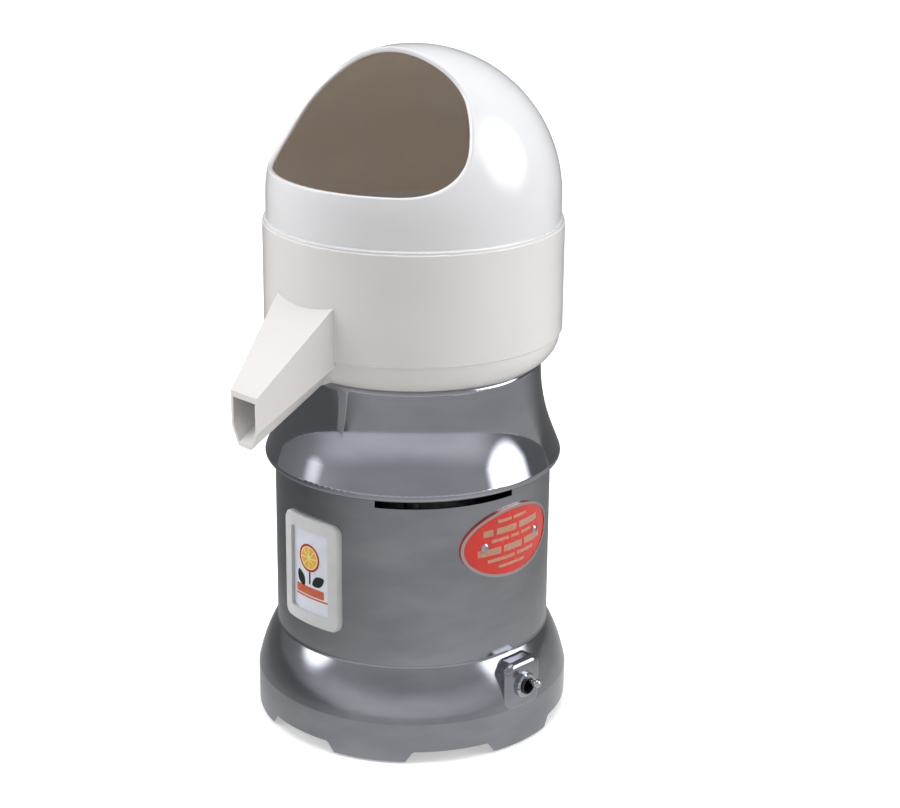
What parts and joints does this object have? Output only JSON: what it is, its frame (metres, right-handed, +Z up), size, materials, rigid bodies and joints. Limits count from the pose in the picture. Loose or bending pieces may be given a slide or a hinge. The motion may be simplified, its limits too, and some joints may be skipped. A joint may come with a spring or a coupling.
{
  "type": "citrus press juicer",
  "caption": "Counter-top citrus juicer: steel motor base, white bowl with a sloping spout, oscillating strainer, ribbed reamer and a dome hood open at the front.",
  "frame": {"origin": "on the vertical centre line, at the plane the rubber feet stand on", "axes": "+Z up along the motor shaft; -Y towards the spout and badge; +X towards the switch and data plate; +Y towards the cord inlet"},
  "size_m": [0.235, 0.2615, 0.47],
  "materials": {
    "polished_steel": "polished",
    "zinc_plated_steel": "satin",
    "black_rubber": "matt",
    "grey_white_plastic": "satin",
    "printed_card": "printed",
    "enamelled_plate": "enamelled",
    "chrome_trim": "polished",
    "black_plastic": "satin",
    "capacitor_can": "drawn",
    "lamination_steel": "laminated",
    "copper_winding": "enamelled wire",
    "cast_aluminium": "cast",
    "bearing_steel": "ground",
    "bronze": "machined",
    "white_plastic": "gloss",
    "strainer_plastic": "gloss",
    "stainless_screen": "brushed"
  },
  "bodies": {
    "base": {"lower_housing": "polished_steel", "upper_shroud": "polished_steel", "base_plate": "zinc_plated_steel", "base_plate_screws": "zinc_plated_steel", "rubber_feet": "black_rubber", "motor_mount_plate": "zinc_plated_steel", "mount_plate_screws": "zinc_plated_steel", "tie_rods": "zinc_plated_steel", "lever_pivot_post": "zinc_plated_steel", "bowl_seat_ring": "black_rubber", "shaft_seal": "black_rubber", "badge_frame": "grey_white_plastic", "badge_panel": "printed_card", "data_plate": "enamelled_plate", "data_plate_screws": "chrome_trim", "switch_body": "black_plastic", "switch_nut": "chrome_trim", "cord_inlet_bush": "black_rubber", "terminal_block": "black_plastic", "capacitor": "capacitor_can", "capacitor_strap": "zinc_plated_steel", "stator_core": "lamination_steel", "stator_windings": "copper_winding", "upper_end_bell": "cast_aluminium", "lower_end_bell": "cast_aluminium", "motor_bolts": "zinc_plated_steel", "motor_spacers": "zinc_plated_steel", "upper_bearing": "bearing_steel", "lower_bearing": "bearing_steel"},
    "rotor": {"motor_shaft": "bearing_steel", "rotor_core": "lamination_steel", "cooling_fan": "cast_aluminium", "drive_eccentric": "bearing_steel"},
    "lever": {"oscillator_lever": "bearing_steel", "lever_bush": "bronze", "oscillator_pin": "bearing_steel"},
    "bowl": {"juice_bowl": "white_plastic", "juice_spout": "white_plastic", "bowl_centre": "white_plastic"},
    "strainer": {"strainer_frame": "strainer_plastic", "strainer_screen": "stainless_screen"},
    "slinger": {"slinger": "black_plastic"},
    "reamer": {"reamer_bulb": "white_plastic", "reamer_insert": "bronze"},
    "hood": {"hood": "white_plastic"},
    "toggle": {"switch_lever": "chrome_trim"}
  },
  "joints": [
    {"name": "rotor_spin", "type": "hinge", "parent": "base", "child": "rotor", "pos_m": [0, 0, 0.12], "axis": [0, 0, 1], "continuous": true},
    {"name": "bowl_lift", "type": "slide", "parent": "base", "child": "bowl", "axis": [0, 0, 1], "range_m": [0, 0.15]},
    {"name": "strainer_swing", "type": "hinge", "parent": "bowl", "child": "strainer", "pos_m": [0, 0, 0.3], "axis": [0, 0, 1], "range_deg": [-4.38, 4.38]},
    {"name": "lever_swing", "type": "hinge", "parent": "base", "child": "lever", "pos_m": [0, 0.062, 0.214], "axis": [0, 0, 1], "range_deg": [-1.85, 1.85]},
    {"name": "slinger_spin", "type": "hinge", "parent": "bowl", "child": "slinger", "pos_m": [0, 0, 0.307], "axis": [0, 0, 1], "continuous": true},
    {"name": "reamer_lift", "type": "slide", "parent": "slinger", "child": "reamer", "axis": [0, 0, 1], "range_m": [0, 0.06]},
    {"name": "hood_lift", "type": "slide", "parent": "bowl", "child": "hood", "axis": [0, 0, 1], "range_m": [0, 0.2]},
    {"name": "switch_toggle", "type": "hinge", "parent": "base", "child": "toggle", "pos_m": [0.1041, 0, 0.0445], "axis": [0, 1, 0], "range_deg": [0, 30]}
  ],
  "couplings": [
    {"joint": "lever_swing", "follows": "strainer_swing", "ratio": 0.42056},
    {"joint": "slinger_spin", "follows": "rotor_spin", "ratio": 1}
  ]
}
